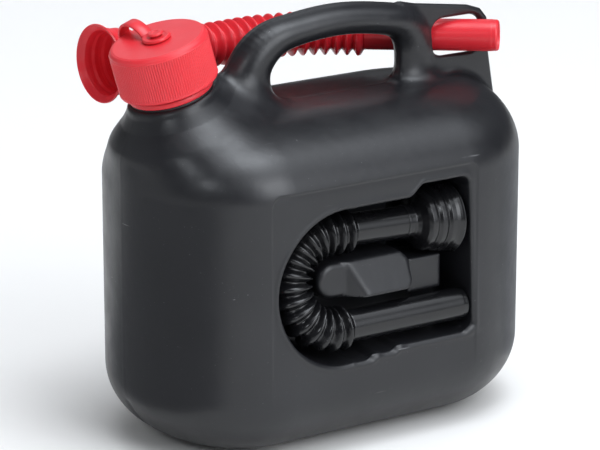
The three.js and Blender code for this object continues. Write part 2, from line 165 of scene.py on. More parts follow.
def rounded(corners, longest=1.6):
    """A profile through corners (a, b, fillet), each rounded, with long stretches divided."""
    points = np.array([c[:2] for c in corners], float)
    out = [points[0]]
    for k in range(1, len(corners) - 1):
        fillet = corners[k][2] if len(corners[k]) > 2 else 0
        here, before, after = points[k], points[k - 1], points[k + 1]
        a, b = before - here, after - here
        la, lb = np.linalg.norm(a), np.linalg.norm(b)
        a, b = a / la, b / lb
        angle = math.acos(np.clip(a @ b, -1, 1))
        cut = min(fillet / max(math.tan(angle / 2), 1e-6), 0.48 * la, 0.48 * lb)
        if fillet <= 0 or angle > 179 * RAD:
            out.append(here)
            continue
        for t in np.linspace(0, 1, 6):
            start, end = here + a * cut, here + b * cut
            out.append((1 - t) ** 2 * start + 2 * t * (1 - t) * here + t * t * end)
    out.append(points[-1])
    dense = [out[0]]
    for p, q in zip(out, out[1:]):
        gap = np.linalg.norm(q - p)
        if gap < 1e-4:
            continue
        count = max(1, math.ceil(gap / longest))
        dense.extend(p + (q - p) * (t + 1) / count for t in range(count))
    return np.array(dense)


def grid_faces(rows, around, closed=False):
    """Quads joining rows of points; closed joins the last row to the first."""
    faces = []
    for k in range(rows if closed else rows - 1):
        a, b = k * around, ((k + 1) % rows) * around
        for j in range(around):
            n = (j + 1) % around
            faces.append((a + j, a + n, b + n, b + j))
    return faces


def tube_mesh(rings, closed=True):
    """Points and faces of a surface through equal rings; an open one gets flat end caps."""
    rings = np.asarray(rings)
    rows, around = rings.shape[:2]
    verts = rings.reshape(-1, 3)
    faces = grid_faces(rows, around, closed)
    if not closed:
        for row, flip in ((0, False), (rows - 1, True)):
            centre = len(verts)
            verts = np.vstack([verts, rings[row].mean(0)])
            for j in range(around):
                a, b = row * around + j, row * around + (j + 1) % around
                faces.append((a, centre, b) if flip else (b, centre, a))
    return outward(verts, faces)


def outward(verts, faces):
    """The same mesh with its faces turned to face out."""
    v = np.asarray(verts, float)
    volume = 0.0
    for f in faces:
        for k in range(1, len(f) - 1):
            volume += v[f[0]] @ np.cross(v[f[k]], v[f[k + 1]])
    return v, ([tuple(reversed(f)) for f in faces] if volume < 0 else faces)


def lathe(profile, segments, ripple=None, closed=True):
    """Rings of a profile (radius, height) turned about Z; ripple(angle, radius, height) adds to it."""
    angle = np.arange(segments) * 2 * math.pi / segments
    rings = []
    for radius, height in profile:
        r = radius + (ripple(angle, radius, height) if ripple else 0 * angle)
        rings.append(np.stack([r * np.cos(angle), r * np.sin(angle), height + 0 * angle], 1))
    return tube_mesh(rings, closed)


def placed(verts, origin, axis, turn=0.0):
    """Points made about Z moved to an axis that starts at origin."""
    spin = Matrix.Rotation(turn, 3, "Z")
    tilt = Vector((0, 0, 1)).rotation_difference(Vector(axis)).to_matrix()
    return np.asarray(verts) @ np.array(tilt @ spin).T + np.asarray(origin)


def sweep(centres, directions, up, radii, sides):
    """Rings of a round tube: up is normal to the plane that the route lies in."""
    angle = np.arange(sides) * 2 * math.pi / sides
    rings = []
    for at, along, radius in zip(centres, directions, radii):
        side = np.cross(up, along)
        side /= np.linalg.norm(side)
        high = np.cross(along, side)
        rings.append(at + radius * (np.outer(np.cos(angle), side) + np.outer(np.sin(angle), high)))
    return rings


# ------------------------------------------------------------------ materials


def plastic(name, colour, rough, grain, specular=0.5, tint=0.10, scuff=(0.35, 0.35, 0.36), soft=0.0):
    """Moulded polyethylene: flow marks in the colour, fine grain, orange peel and thin scuffs."""
    material = bpy.data.materials.new(name)
    material.use_nodes = True
    tree = material.node_tree
    node, link = tree.nodes.new, tree.links.new
    shader = tree.nodes["Principled BSDF"]
    shader.inputs["Specular IOR Level"].default_value = specular
    shader.inputs["IOR"].default_value = 1.51
    if soft:
        shader.inputs["Subsurface Weight"].default_value = soft
        shader.inputs["Subsurface Radius"].default_value = (0.9, 0.25, 0.15)
        shader.inputs["Subsurface Scale"].default_value = 0.003
    place = node("ShaderNodeTexCoord")

    def noise(scale, detail=3.0, stretch=None, roughness=0.55):
        texture = node("ShaderNodeTexNoise")
        texture.inputs["Scale"].default_value = scale
        texture.inputs["Detail"].default_value = detail
        texture.inputs["Roughness"].default_value = roughness
        if stretch:
            mapping = node("ShaderNodeMapping")
            mapping.inputs["Scale"].default_value = stretch[0]
            mapping.inputs["Rotation"].default_value = stretch[1]
            link(place.outputs["Object"], mapping.inputs["Vector"])
            link(mapping.outputs["Vector"], texture.inputs["Vector"])
        else:
            link(place.outputs["Object"], texture.inputs["Vector"])
        return texture.outputs["Fac"]

    def ramp(value, low, high, to_low=0.0, to_high=1.0):
        remap = node("ShaderNodeMapRange")
        limits = {"From Min": low, "From Max": high, "To Min": to_low, "To Max": to_high}
        for key, number in limits.items():
            remap.inputs[key].default_value = number
        link(value, remap.inputs["Value"])
        return remap.outputs["Result"]

    def maths(kind, a, b):
        step = node("ShaderNodeMath")
        step.operation = kind
        for socket, value in zip(step.inputs, (a, b)):
            if isinstance(value, (int, float)):
                socket.default_value = value
            else:
                link(value, socket)
        return step.outputs[0]

    def mix(factor, a, b):
        blend = node("ShaderNodeMix")
        blend.data_type = "RGBA"
        link(factor, blend.inputs["Factor"])
        for key, value in (("A", a), ("B", b)):
            socket = [s for s in blend.inputs if s.name == key and s.type == "RGBA"][0]
            if isinstance(value, tuple):
                socket.default_value = (*value, 1)
            else:
                link(value, socket)
        return [s for s in blend.outputs if s.type == "RGBA"][0]

    flow = noise(22, 4)
    dark = tuple(c * (1 - tint) for c in colour)
    light = tuple(min(1, c * (1 + tint)) for c in colour)
    base = mix(ramp(flow, 0.3, 0.7), dark, light)
    # Scuffs are thin lines in two directions, kept to patches; dust is a few single grains
    scratches = maths(
        "MAXIMUM",
        ramp(noise(1, 2, ((18, 420, 420), (0.3, 0.5, 0.9))), 0.73, 0.78),
        ramp(noise(1, 2, ((380, 24, 380), (0.7, 0.2, 0.4))), 0.74, 0.79),
    )
    patches = ramp(noise(31, 3), 0.5, 0.68)
    worn = maths("MULTIPLY", maths("MULTIPLY", scratches, patches), 0.55)
    dust = maths("MULTIPLY", ramp(noise(900, 2), 0.72, 0.8), 0.25)
    base = mix(maths("MAXIMUM", worn, dust), base, scuff)
    link(base, shader.inputs["Base Color"])
    uneven = ramp(noise(60, 4), 0.3, 0.7, rough - 0.05, rough + 0.06)
    roughness = maths("ADD", uneven, maths("MULTIPLY", worn, 0.3))
    link(roughness, shader.inputs["Roughness"])

    def bump(height, distance, strength, normal=None):
        step = node("ShaderNodeBump")
        step.inputs["Distance"].default_value = distance
        step.inputs["Strength"].default_value = strength
        link(height, step.inputs["Height"])
        if normal:
            link(normal, step.inputs["Normal"])
        return step.outputs["Normal"]

    peel = bump(noise(150, 2), 0.0003, grain)
    fine = bump(noise(1300, 2), 0.00006, grain, peel)
    link(bump(worn, 0.00005, 0.4, fine), shader.inputs["Normal"])
    return material


shell = plastic("hdpe_black_satin", (0.0100, 0.0102, 0.0122), 0.35, 0.30, tint=0.16)
spout_black = plastic("hdpe_black_gloss", (0.005, 0.005, 0.0058), 0.22, 0.03, tint=0.2)
cap_red = plastic("hdpe_red_cap", (0.74, 0.030, 0.042), 0.36, 0.22, tint=0.05,
                  scuff=(0.85, 0.35, 0.35), soft=0.12)
tether_red = plastic("hdpe_red_tether", (0.72, 0.028, 0.04), 0.38, 0.2, tint=0.05,
                     scuff=(0.85, 0.3, 0.3), soft=0.12)
spout_red = plastic("hdpe_red_spout", (0.70, 0.020, 0.032), 0.33, 0.25, tint=0.06,
                    scuff=(0.85, 0.3, 0.3), soft=0.15)
seal = plastic("nbr_seal", (0.02, 0.02, 0.02), 0.7, 0.4)

# ------------------------------------------------------------------ distance fields


def smin(a, b, k):
    """The smaller of two distances, the shapes blended over a width k."""
    h = np.maximum(k - np.abs(a - b), 0) / k
    return np.minimum(a, b) - h * h * k * 0.25


def smax(a, b, k):
    """The larger of two distances, the edge between the shapes rounded over a width k."""
    return -smin(-a, -b, k)


def ease(value, low, high):
    """A smooth climb from 0 at low to 1 at high."""
    t = np.clip((value - low) / (high - low), 0, 1)
    return t * t * (3 - 2 * t)


def polygon(a, b, corners):
    """Signed distance in a plane to a closed polygon."""
    best = None
    inside = False
    for k in range(len(corners)):
        (x0, y0), (x1, y1) = corners[k - 1], corners[k]
        ex, ey = x1 - x0, y1 - y0
        wx, wy = a - x0, b - y0
        t = np.clip((wx * ex + wy * ey) / (ex * ex + ey * ey), 0, 1)
        d = (wx - ex * t) ** 2 + (wy - ey * t) ** 2
        best = d if best is None else np.minimum(best, d)
        crosses = (b >= min(y0, y1)) & (b < max(y0, y1))
        if ey:
            inside = inside ^ (crosses & (a < x0 + (b - y0) * ex / ey))
    return np.where(inside, -1.0, 1.0) * np.sqrt(best)


def rounded_box(a, b, left, right, bottom, top, corner):
    """Signed distance in a plane to a box with round corners."""
    qa = np.abs(a - (left + right) / 2) - (right - left) / 2 + corner
    qb = np.abs(b - (bottom + top) / 2) - (top - bottom) / 2 + corner
    outside = np.sqrt(np.maximum(qa, 0) ** 2 + np.maximum(qb, 0) ** 2)
    return outside + np.minimum(np.maximum(qa, qb), 0) - corner


def catmull(points, per):
    """A smooth line through points, with per pieces for each stretch."""
    p = np.array(points, float)
    p = np.vstack([2 * p[0] - p[1], p, 2 * p[-1] - p[-2]])
    out = []
    for k in range(1, len(p) - 2):
        for t in np.arange(per) / per:
            out.append(0.5 * (
                2 * p[k] + (p[k + 1] - p[k - 1]) * t
                + (2 * p[k - 1] - 5 * p[k] + 4 * p[k + 1] - p[k + 2]) * t * t
                + (3 * p[k] - p[k - 1] - 3 * p[k + 1] + p[k + 2]) * t ** 3
            ))
    out.append(p[-2])
    return np.array(out)


def nearest(a, b, line):
    """Distance in a plane to a line of points, and how far along it the nearest point is, 0 to 1."""
    best, share = None, None
    for k in range(len(line) - 1):
        (x0, y0), (x1, y1) = line[k], line[k + 1]
        ex, ey = x1 - x0, y1 - y0
        t = np.clip(((a - x0) * ex + (b - y0) * ey) / (ex * ex + ey * ey), 0, 1)
        d = (a - x0 - ex * t) ** 2 + (b - y0 - ey * t) ** 2
        s = (k + t) / (len(line) - 1)
        if best is None:
            best, share = d, s
        else:
            share = np.where(d < best, s, share)
            best = np.minimum(best, d)
    return np.sqrt(best), share


def body_field(x, y, z):
    """The can's body: half-oval ends in plan, quarter-oval roundings at base and shoulder."""
    beyond = np.maximum(np.abs(x) - BODY["straight"], 0) / BODY["end"]
    aside = np.abs(y) / BODY["half_width"]
    plan = np.sqrt(beyond**2 + aside**2)
    endwise = beyond**2 / np.maximum(plan**2, 1e-6)
    depth = (1 - plan) * (BODY["half_width"] + (BODY["end"] - BODY["half_width"]) * endwise)
    fields = []
    for size, height in ((BASE_ROUND, z), (TOP_ROUND, BODY["top"] - z)):
        across = size["y"] + (size["x"] - size["y"]) * endwise
        u = np.maximum((across - depth) / across, 0)
        v = np.maximum((size["height"] - height) / size["height"], 0)
        r = np.sqrt(u * u + v * v)
        slope = np.sqrt((u / across) ** 2 + (v / size["height"]) ** 2)
        fields.append((r - 1) * np.where(r > 1e-3, r / np.maximum(slope, 1e-9), size["height"]))
    return np.maximum(*fields)


def handle_field(x, y, z):
    """The handle: an oval section along its line that grows from the grip to the two feet."""
    distance, share = nearest(x, z, HANDLE_CURVE)
    upright = ease(np.abs(share - 0.5), *HANDLE_GROWS)
    high, wide = (
        grip + (np.where(share < 0.5, front, rear) - grip) * upright
        for grip, front, rear in zip(HANDLE["grip"], HANDLE["front"], HANDLE["rear"])
    )
    f = np.sqrt((distance / high) ** 2 + (y / wide) ** 2)
    slope = np.sqrt((distance / high**2) ** 2 + (y / wide**2) ** 2)
    return (f - 1) * np.where(f > 1e-3, f / np.maximum(slope, 1e-9), high)


def web_field(x, y, z):
    """The upright web behind the handle, with the hole for the red spout's outlet."""
    outline = smax(polygon(x, z, WEB_LINE), -rounded_box(x, z, **WEB_HOLE), BLEND["web_hole"])
    return smax(outline, np.abs(y) - WEB_THICK / 2, BLEND["web_edge"])


def neck_field(x, y, z):
    """The neck's root, its bore, and the space that the cap needs around them."""
    px, py, pz = x - NECK_AT[0], y - NECK_AT[1], z - NECK_AT[2]
    along = px * NECK_AXIS[0] + pz * NECK_AXIS[2]
    off = np.sqrt((px - along * NECK_AXIS[0]) ** 2 + py**2 + (pz - along * NECK_AXIS[2]) ** 2)
    cone = polygon(off, along, NECK_CONE)
    bore = np.maximum(off - NECK["bore"], -along - NECK["sunk"])
    return cone, bore, polygon(off, along, CAP_ROOM)


def recess_edges(x):
    """Heights of the recess's lower and upper edges, which step up along the can."""
    climb = sum(ease(x, *step) for step in RECESS_LOW["steps"]) / len(RECESS_LOW["steps"])
    low = RECESS_LOW["left"] + (RECESS_LOW["right"] - RECESS_LOW["left"]) * climb
    climb = ease(x, RECESS_HIGH["from"], RECESS_HIGH["to"])
    return low, RECESS_HIGH["left"] + (RECESS_HIGH["right"] - RECESS_HIGH["left"]) * climb


def stands_field(x, y, z):
    """What stands up inside the recess: a round-ended tongue, a creased block and a ledge."""
    edge = BLEND["edge"]
    left, right, bottom, top = (ISLAND[side] for side in ("left", "right", "bottom", "top"))
    rim, middle = (top - bottom) / 2, (top + bottom) / 2
    tongue = rounded_box(x, z, left, left + TONGUE["length"], bottom, top, rim - 0.2)
    tongue = smax(tongue, TONGUE["face"] - y, TONGUE["round"])
    face = BLOCK["upper"] + (BLOCK["lower"] - BLOCK["upper"]) * (top - z) / (top - bottom)
    crease = -(x - BLOCK["crease"] + BLOCK["slant"] * (y - BLOCK["upper"]))
    crease = crease / math.hypot(1, BLOCK["slant"])
    chamfer = (np.abs(z - middle) + x - right - rim + BLOCK["chamfer"]) * DIAGONAL
    sides = smax(smax(bottom - z, z - top, 1), smax(x - right, chamfer, edge), edge)
    block = smax(smax(sides, crease, edge), (face - y) * BLOCK["lean"], BLEND["face"])
    ledge = smax(rounded_box(x, z, **LEDGE), LEDGE_FACE - y, BLEND["ledge"])
    return smin(smin(tongue, block, edge), ledge, edge)


def recess_field(x, y, z):
    """The recess for the black spout, with its deeper pocket, and the bead around its mouth."""
    low, high = recess_edges(x)
    lean = (RECESS["right_bottom"] - RECESS["right_top"]) / (RECESS_HIGH["right"] - RECESS_LOW["right"])
    right = x - RECESS["right_bottom"] + (z - RECESS_LOW["right"]) * lean
    cx, cz, radius, narrow = RECESS_END
    across = smax(low - z, z - high, BLEND["low_high"])
    block = smax(across, smax(right, cx - x, BLEND["ends"]), BLEND["corner"])
    outline = np.minimum(block, np.sqrt(((x - cx) * narrow) ** 2 + (z - cz) ** 2) - radius)
    draft = RECESS["draft"] * (y + BODY["half_width"])
    main = smax(outline + draft, y - RECESS["floor"], BLEND["floor"])
    pocket = smax(rounded_box(x, z, **POCKET) + draft, y - RECESS["pocket"], BLEND["floor"])
    space = smax(np.minimum(main, pocket), -stands_field(x, y, z), BLEND["stand"])
    bead = np.exp(-(((outline - RIM_BEAD["off"]) / RIM_BEAD["width"]) ** 2))
    return space, RIM_BEAD["height"] * bead * (y < RIM_BEAD["from"])


def snaps(x, y, z):
    """Small moulded bumps on the steps of the recess's lower edge that hold the spout in."""
    best = None
    for sx, sz, size in SNAPS:
        across, up = (x - sx) / SNAP["long"], (z - sz) / SNAP["tall"]
        ball = np.sqrt(across**2 + (y + SNAP["plane"]) ** 2 + up**2) - size
        best = ball if best is None else np.minimum(best, ball)
    return best


def seam(x, y, z):
    """How far the parting line's flash stands out, less the pinch-off groove at the base's ends."""
    groove = ease(np.abs(x), *GROOVE["ends"]) * (1 - ease(z, *GROOVE["heights"]))
    groove = groove * np.exp(-((y / GROOVE["width"]) ** 2))
    height = FLASH["height"] - FLASH["less"] * ease(-x, FLASH["from"], FLASH["to"])
    return height * np.exp(-((y / FLASH["width"]) ** 2)) - GROOVE["depth"] * groove


def can_field(x, y, z):
    """The whole can: body, handle, neck and web blended, with the recess and the bore taken out."""
    panel = rounded_box(x, z, **PANEL)
    fade = 1 - ease(z, *PANEL_FADE) * (z < PANEL_FADE[0])
    body = body_field(x, y, z) + PANEL_SUNK * (1 - ease(panel, *PANEL_STEP)) * fade * (y < 0)
    narrower = BLEND["front_foot"] - BLEND["rear_foot"]
    joint = BLEND["front_foot"] - narrower * ease(x, *FOOT_NARROWS)
    cone, bore, cap_room = neck_field(x, y, z)
    solid = smin(smin(body, handle_field(x, y, z), joint), cone, BLEND["neck"])
    solid = smin(solid, web_field(x, y, z), BLEND["web"])
    recess, rim_bead = recess_field(x, y, z)
    solid = smax(solid - rim_bead, -recess, BLEND["mouth"])
    solid = smin(solid, snaps(x, y, z), BLEND["snap"])
    solid = smax(solid - seam(x, y, z), -cap_room, BLEND["cap_room"])
    return smax(solid, -bore, BLEND["bore"])


HANDLE_CURVE = catmull(HANDLE_LINE, 6)
NECK_AT = in_mm(joints["cap_turn"]["pos_m"])
NECK_AXIS = np.array(joints["cap_turn"]["axis"])


def net(field, low, high, cell):
    """Surface net of a field, its points then moved onto the true surface."""
    axes = [np.arange(lo, hi + cell, cell, dtype=np.float32) for lo, hi in zip(low, high)]
    values = np.asarray(np.broadcast_to(
        field(axes[0][:, None, None], axes[1][None, :, None], axes[2][None, None, :]),
        [len(a) for a in axes])).astype(np.float32)
    inside = values < 0
    corners = [(i, j, k) for i in (0, 1) for j in (0, 1) for k in (0, 1)]
    size = [n - 1 for n in values.shape]
    count = np.zeros(size, np.uint8)
    for i, j, k in corners:
        count += inside[i:i + size[0], j:j + size[1], k:k + size[2]]
    cells = np.argwhere((count > 0) & (count < 8))
    index = np.full(size, -1, np.int32)
    index[tuple(cells.T)] = np.arange(len(cells))
    total = np.zeros((len(cells), 3))
    hits = np.zeros(len(cells))
    for a in corners:
        for axis in range(3):
            if a[axis]:
                continue
            b = list(a)
            b[axis] = 1
            va = values[tuple((cells + a).T)]
            vb = values[tuple((cells + b).T)]
            cut = (va < 0) != (vb < 0)
            t = np.where(cut, va / np.where(cut, va - vb, 1), 0)
            point = np.array(a, float)[None, :].repeat(len(cells), 0)
            point[:, axis] = t
            total += point * cut[:, None]
            hits += cut
    verts = (cells + total / hits[:, None]) * cell + np.array([a[0] for a in axes])
    faces = []
    for axis in range(3):
        step = [0, 0, 0]
        step[axis] = 1
        first = inside[tuple(slice(0, n - s) for n, s in zip(inside.shape, step))]
        second = inside[tuple(slice(s, None) for s in step)]
        edges = np.argwhere(first != second)
        u, v = [k for k in range(3) if k != axis]
        inner = (edges[:, u] > 0) & (edges[:, v] > 0) & (edges[:, u] < size[u]) & (edges[:, v] < size[v])
        edges = edges[inner]
        quad = []
        for du, dv in ((-1, -1), (0, -1), (0, 0), (-1, 0)):
            where = edges.copy()
            where[:, u] += du
            where[:, v] += dv
            quad.append(index[tuple(where.T)])
        quad = np.stack(quad, 1)
        starts_inside = first[tuple(edges.T)]
        flip = starts_inside if axis == 1 else ~starts_inside
        quad[flip] = quad[flip][:, ::-1]
        faces.append(quad)
    faces = np.vstack(faces)
    for _ in range(3):
        value, normals = slope(field, verts)
        verts = verts - np.clip(value, -0.4 * cell, 0.4 * cell)[:, None] * normals
    normals = slope(field, verts)[1]
    return verts, faces, normals


def slope(field, verts, step=0.25):
    """The field at points, as a distance, and its direction."""
    x, y, z = verts.T
    gradient = np.stack([
        field(x + step, y, z) - field(x - step, y, z),
        field(x, y + step, z) - field(x, y - step, z),
        field(x, y, z + step) - field(x, y, z - step),
    ], 1) / (2 * step)
    length = np.maximum(np.linalg.norm(gradient, axis=1), 0.2)
    return field(x, y, z) / length, gradient / length[:, None]


low, high = box_mm("can_body")
verts, faces, normals = net(can_field, low - 3.1 * CELL, high + 3.1 * CELL, CELL)
make("can_skin", verts, faces, "can", ["can_body"], shell, normals)

# ------------------------------------------------------------------ neck and cap

def on_neck(verts, turn=0.0):
    return placed(verts, NECK_AT, NECK_AXIS, turn)


def helix(radius, depth, start, end, pitch, width, inward=False):
    """A thread: a low trapezoid swept along a helix, tapered at both ends."""
    per_turn, taper, bite = 72, 9, -0.3  # steps, steps that an end takes to rise, depth of its foot
    turns = (end - start) / pitch
    steps = int(turns * per_turn)
    rings = []
    sign = -1 if inward else 1
    for k in range(steps + 1):
        share = k / steps
        angle = share * turns * 2 * math.pi
        fade = min(1, share * steps / taper, (1 - share) * steps / taper)
        height = start + (end - start) * share
        crest = depth * fade
        section = [(bite, -width / 2), (crest, -width / 5), (crest, width / 5), (bite, width / 2)]
        rings.append([
            ((radius + sign * out) * math.cos(angle), (radius + sign * out) * math.sin(angle), height + up)
            for out, up in section
        ])
    return tube_mesh(rings, closed=False)


neck_profile = rounded([
    (NECK["bore"], -12), (NECK["root"] + 1.2, -12),
    (NECK["root"] + 1.2, -5.4, 0.5), (NECK["root"], -4.6, 0.5),
    (NECK["root"], NECK["rim"] - 1.6, 0.8), (NECK["root"] - 0.9, NECK["rim"], 0.6),
    (NECK["bore"] + 0.5, NECK["rim"], 0.6), (NECK["bore"], NECK["rim"] - 1, 0.4), (NECK["bore"], -12),
])[:-1]
verts, faces = lathe(neck_profile, 128)
make("neck_tube", on_neck(verts), faces, "can", (), shell)
verts, faces = helix(NECK["root"], NECK["thread"] - NECK["root"], 2, 18, NECK["pitch"], 2.6)
make("neck_thread", on_neck(verts), faces, "can", (), shell)


def cap_ribs(angle, radius, height):
    """Fine upright ribs between the smooth edge bands of the cap's wall."""
    if radius < CAP["radius"] - 1.2:
        return 0 * angle
    fade = np.clip((height - CAP["ribs_from"]) / 0.6, 0, 1) * np.clip((CAP["ribs_to"] - height) / 0.4, 0, 1)
    wave = np.abs(np.sin(angle * CAP["ribs"] / 2)) ** 0.8
    return -CAP["rib_depth"] * fade * (1 - wave)


# Profiles about the neck's axis: distance from it, height and the corner's rounding
r, h, bore = CAP["radius"], CAP["height"], CAP["bore"]
cap_profile = rounded([
    (0.4, h - 3), (bore, h - 3, 0.8), (bore, 1.2, 0.4), (26.2, 0, 0.3), (r - 0.5, 0, 0.5),
    (r, 0.8, 0.3), (r, CAP["ribs_from"]), (r, 2.3), (r, CAP["ribs_to"], 0.1), (r - 0.3, 25.7, 0.2),
    (r - 0.5, 26.5, 0.4), (r - 1.7, h - 0.45, 0.8), (r - 2.5, h - 0.25, 0.3), (r - 2.9, h, 0.25),
    (14, h - 0.15, 4), (0.4, h - 0.15),
], 1.1)
verts, faces = lathe(cap_profile, CAP["ribs"] * 6, cap_ribs, closed=False)
make("cap_shell", on_neck(verts), faces, "cap", ["screw_cap"], cap_red)
verts, faces = helix(bore, 0.6, 3, 16, NECK["pitch"], 2.4, inward=True)
make("cap_thread", on_neck(verts), faces, "cap", (), cap_red)
stud_profile = rounded([
    (0.05, h - 0.4), (2.6, h - 0.4), (2.6, h + 3.0, 0.2), (4.2, h + 3.0, 0.4), (4.7, h + 3.5, 0.5),
    (4.1, h + 4.5, 0.6), (2.2, h + 4.65, 0.5), (1.6, h + 4.3, 0.3), (0.05, h + 4.2),
], 0.5)
verts, faces = lathe(stud_profile, 64, closed=False)
make("cap_stud", on_neck(verts), faces, "cap", (), cap_red)

g_top = h - 3.3
gasket_profile = rounded([
    (18.5, g_top - 1.0), (18.5, g_top - 1.6, 0.5), (19.6, g_top - 1.9, 0.4), (20.6, g_top - 1.4, 0.5),
    (22.6, g_top - 1.4, 0.5), (23.6, g_top - 1.9, 0.4), (24.9, g_top - 1.6, 0.5), (24.9, g_top, 0.4),
    (18.5, g_top, 0.4), (18.5, g_top - 1.0),
], 0.8)[:-1]
verts, faces = lathe(gasket_profile, 96)
make("gasket_bead", on_neck(verts), faces, "cap", ["cap_gasket"], seal)

# ------------------------------------------------------------------ tether

ring_profile = rounded([
    (23.6, -3.5), (23.6, -5, 0.3), (24.9, -5, 0.7), (25.2, -3.5, 0.8), (24.8, -2, 0.7), (24.3, -1.8, 0.4),
    (23.6, -2.2, 0.3), (23.6, -3.5),
], 0.5)[:-1]
verts, faces = lathe(ring_profile, 160)
make("tether_band", on_neck(verts), faces, "tether", ["tether_ring"], tether_red)

eye_profile = rounded([
    (3.0, h + 1.2), (3.0, h + 0.35, 0.3), (8.3, h + 0.35, 0.4), (8.5, h + 1.2, 0.4), (8.1, h + 2.35, 0.6),
    (6.2, h + 2.3, 0.4), (5.6, h + 2.0, 0.4), (3.4, h + 2.0, 0.4), (3.0, h + 1.2),
], 0.5)[:-1]
verts, faces = lathe(eye_profile, 96)
make("tether_disc", on_neck(verts), faces, "tether_top", ["tether_eye"], tether_red)

STRAP_LINE = [
    (24.9, -3.5), (28.8, -3.6), (30.5, 0), (30.6, 10), (30.9, 22), (30, 29.5), (25.5, 34.6), (19, 35.8),
    (13, 33.8), (8.0, 29.9),
]
STRAP = {"width": 8.0, "thick": 1.5, "turn": 9 * RAD}
# The strap's section in half widths and half thicknesses, its upper edges raised
STRAP_SECTION = [
    (-0.93, -1), (0.93, -1), (1, -0.6), (1, 0.6), (0.93, 1),
    (0.75, 0.8), (-0.75, 0.8), (-0.93, 1), (-1, 0.6), (-1, -0.6),
]
line = catmull(STRAP_LINE, 8)
tangents = np.gradient(line, axis=0)
tangents /= np.linalg.norm(tangents, axis=1)[:, None]
section = [(w * STRAP["width"] / 2, t * STRAP["thick"] / 2) for w, t in STRAP_SECTION]
rings = []
for (reach, height), (tr, th) in zip(line, tangents):
    rings.append([(w, reach - th * t, height + tr * t) for w, t in section])
verts, faces = tube_mesh(rings, closed=False)
strap = make("tether_strap_skin", on_neck(verts, STRAP["turn"]), faces, None, ["tether_strap"],
             tether_red)
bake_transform(strap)

# ------------------------------------------------------------------ spouts

COLLAR_RINGS = [(20.3, 5.2, 8.2), (19.5, 11.8, 14.6), (18.4, 18.2, 21.0)]  # radius, start, end
COLLAR = {"groove": 1.7, "wall": 1.4, "foot": 26.0}
CREST_SHAPE = 0.88  # power of the bellows' wave: below 1 it rounds the crests


def collar_profile(lip, end):
    """Rolled lip, then three rings outside and inside that step down to the plain tube."""
    tube, bore, wall, foot = SPOUT["tube"], SPOUT["bore"], COLLAR["wall"], COLLAR["foot"]
    outside = [(lip - 0.9, 0.1), (lip - 0.15, 0.0, 0.3), (lip, 0.8, 0.4), (lip - 0.6, 1.7, 0.5),
               (20.7, 3.2, 1.2)]
    inside = [(lip - 0.9, 0.1), (lip - 1.6, 0.9, 0.6), (19.4, 3.2, 1.2)]
    for radius, start, stop in COLLAR_RINGS:
        outside += [(radius, start, 0.9), (radius - 0.1, stop, 0.9),
                    (radius - COLLAR["groove"], stop + 1.6, 0.7)]
        inside += [(radius - wall, start + 0.3, 0.8), (radius - wall - 0.2, stop - 0.5, 0.8),
                   (radius - wall - 0.9, stop + 1.2, 1.0)]
    outside[-1] = (16.4, COLLAR_RINGS[-1][2] + 1.6, 0.9)
    inside[-1] = (14.4, COLLAR_RINGS[-1][2] + 0.4, 0.9)
    outside += [(11.9, foot - 1.2, 1.6), (tube, foot + 0.6, 1.2), (tube, end)]
    inside += [(10.4, foot - 2.4, 1.4), (bore, foot - 0.4, 1.2), (bore, end)]
    return rounded(outside + inside[::-1], 1.0)[:-1]


def collar(colour, lip, end, mouth, heading, body, material):
    """Flared collar and its plain tube, with a low moulded band where they meet."""
    verts, faces = lathe(collar_profile(lip, end), 144)
    make(f"{colour}_collar_skin", placed(verts, mouth, heading), faces, body, [f"{colour}_spout_collar"],
         material)
    sunk, raised = SPOUT["tube"] - 0.5, SPOUT["tube"] + 0.45
    band = rounded([(sunk, 30), (raised, 30.2, 0.3), (raised, 32.2, 0.4), (sunk, 32.6), (sunk, 30)], 0.5)
    verts, faces = lathe(band[:-1], 96)
    make(f"{colour}_collar_band", placed(verts, mouth, heading), faces, body, (), material)


def bellows(colour, route, start, end, up, material, pitch):
    """Corrugated hose along a route, its crests round and its grooves narrow."""
    ribs = round((end - start) / pitch)
    per = 14
    share = np.linspace(0, 1, ribs * per + 1)
    places = [route(start + (end - start) * s) for s in share]
    centres = [p for p, _ in places]
    along = [d for _, d in places]
    wave = (0.5 - 0.5 * np.cos(share * ribs * 2 * math.pi)) ** CREST_SHAPE
    inward = np.clip(np.minimum(share, 1 - share) * ribs * 2, 0, 1)
    foot = SPOUT["tube"] + (SPOUT["root"] - SPOUT["tube"]) * inward
    outer = foot + (SPOUT["crest"] - foot) * wave
    sides = 96
    rings = sweep(centres, along, up, outer, sides)
    rings += sweep(centres[::-1], along[::-1], up, (outer - SPOUT["wall"])[::-1], sides)
    verts, faces = tube_mesh(rings, closed=True)
    return make(f"{colour}_bellows_skin", verts, faces, None, [f"{colour}_spout_bellows"],
                material)


def outlet(colour, at, along, length, body, material):
    """Plain outlet tube, slightly narrower near its rounded rim."""
    tube, bore = SPOUT["tube"], SPOUT["bore"]
    profile = rounded([
        (bore, 0), (tube, 0), (tube, length - 4.2, 0.5), (tube - 0.12, length - 3.4, 0.8),
        (tube - 0.2, length - 1.2, 1.0), (tube - 0.9, length, 0.7), (bore + 0.1, length - 0.3, 0.5),
        (bore - 0.2, length - 2, 0.8), (bore, length - 6), (bore, 0),
    ], 1.4)[:-1]
    verts, faces = lathe(profile, 96)
    make(f"{colour}_outlet_skin", placed(verts, at, along), faces, body,
         [f"{colour}_spout_outlet"], material)


# The red spout's route: straight from its mouth, then a bend, then its outlet's own slope
RED = {"mouth": (-115.6, 52.9, 221.0), "heading": 5.5 * RAD, "straight": 102.4, "radius": 96.7,
       "turn": 47.1 * RAD, "height": 218.9, "rise": 1.4 * RAD, "outlet": 81.9, "lip": 23.6, "start": 72.5}
